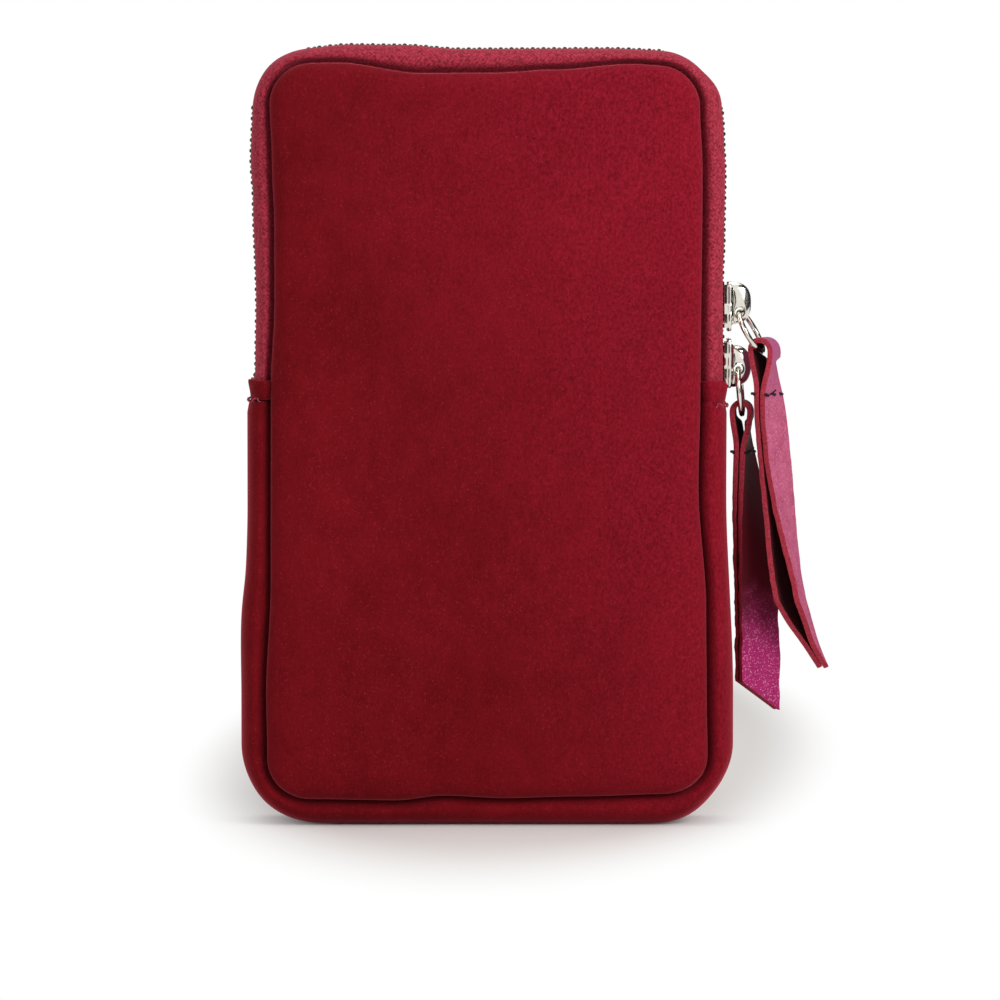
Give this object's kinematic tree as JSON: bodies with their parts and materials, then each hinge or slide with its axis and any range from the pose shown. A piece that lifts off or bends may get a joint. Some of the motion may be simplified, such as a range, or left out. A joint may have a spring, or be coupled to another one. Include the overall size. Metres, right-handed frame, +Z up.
{
  "type": "crossbody pouch",
  "caption": "Slim padded suede pouch with a zip round its top, paired zip sliders on one side and folded leather pulls hanging from rings.",
  "frame": {"origin": "middle of the flat base, where the pouch stands, in the plane of the zip's chain", "axes": "+Z up along the pouch's height, -Y out of the front panel, +X towards the side with the sliders"},
  "size_m": [0.1353, 0.03, 0.1792],
  "materials": {
    "suede": "deep red suede with a soft nap",
    "zip_tape_cloth": "red woven twill tape",
    "lining_cloth": "thin dark red cloth",
    "padding_foam": "thin padding",
    "tooth_metal": "dark antique brass",
    "slider_nickel": "polished nickel",
    "pull_leather": "leather with a pink metallic face"
  },
  "bodies": {
    "pouch": {"back_panel": "suede", "back_padding": "padding_foam", "back_lining": "lining_cloth", "front_panel_lower": "suede", "front_padding_lower": "padding_foam", "front_lining_lower": "lining_cloth", "lower_gusset": "suede", "gusset_lining": "lining_cloth", "zip_end_tab_left": "suede", "zip_end_tab_right": "suede", "back_zip_tape": "zip_tape_cloth", "back_zip_teeth": "tooth_metal", "front_tape_end_left": "zip_tape_cloth", "front_tape_end_right": "zip_tape_cloth", "front_teeth_end_left": "tooth_metal", "front_teeth_end_right": "tooth_metal"},
    "mouth": {"front_panel_upper": "suede", "front_padding_upper": "padding_foam", "front_lining_upper": "lining_cloth", "front_zip_tape": "zip_tape_cloth", "front_zip_teeth": "tooth_metal"},
    "lower_slider": {"lower_slider": "slider_nickel"},
    "upper_slider": {"upper_slider": "slider_nickel"},
    "lower_ring": {"lower_ring": "slider_nickel"},
    "upper_ring": {"upper_ring": "slider_nickel"},
    "lower_pull": {"lower_pull": "pull_leather"},
    "upper_pull": {"upper_pull": "pull_leather"}
  },
  "joints": [
    {"name": "mouth_fold", "type": "hinge", "parent": "pouch", "child": "mouth", "pos_m": [0, -0.015, 0.127], "axis": [1, 0, 0], "range_deg": [0, 60], "deforming": ["front_zip_teeth"]},
    {"name": "lower_slider_run", "type": "slide", "parent": "pouch", "child": "lower_slider", "axis": [0, 0, 1], "range_m": [0, 0.012], "deforming": ["back_zip_teeth", "front_teeth_end_right"]},
    {"name": "upper_slider_run", "type": "slide", "parent": "lower_slider", "child": "upper_slider", "axis": [0, 0, 1], "range_m": [0, 0.022]},
    {"name": "upper_ring_swing", "type": "hinge", "parent": "upper_slider", "child": "upper_ring", "pos_m": [0.05803, 0, 0.11784], "axis": [0, -1, 0], "range_deg": [0, 85]},
    {"name": "upper_pull_swing", "type": "hinge", "parent": "upper_ring", "child": "upper_pull", "pos_m": [0.06328, 0, 0.10875], "axis": [0, -1, 0], "range_deg": [0, 25]},
    {"name": "lower_ring_turn", "type": "hinge", "parent": "lower_slider", "child": "lower_ring", "pos_m": [0.05826, 0, 0.09956], "axis": [0.9924, -0.0872, 0.0868], "range_deg": [0, 40]},
    {"name": "lower_pull_slip", "type": "hinge", "parent": "lower_ring", "child": "lower_pull", "pos_m": [0.05826, 0, 0.09956], "axis": [0.9924, -0.0872, 0.0868], "range_deg": [0, 30]}
  ]
}
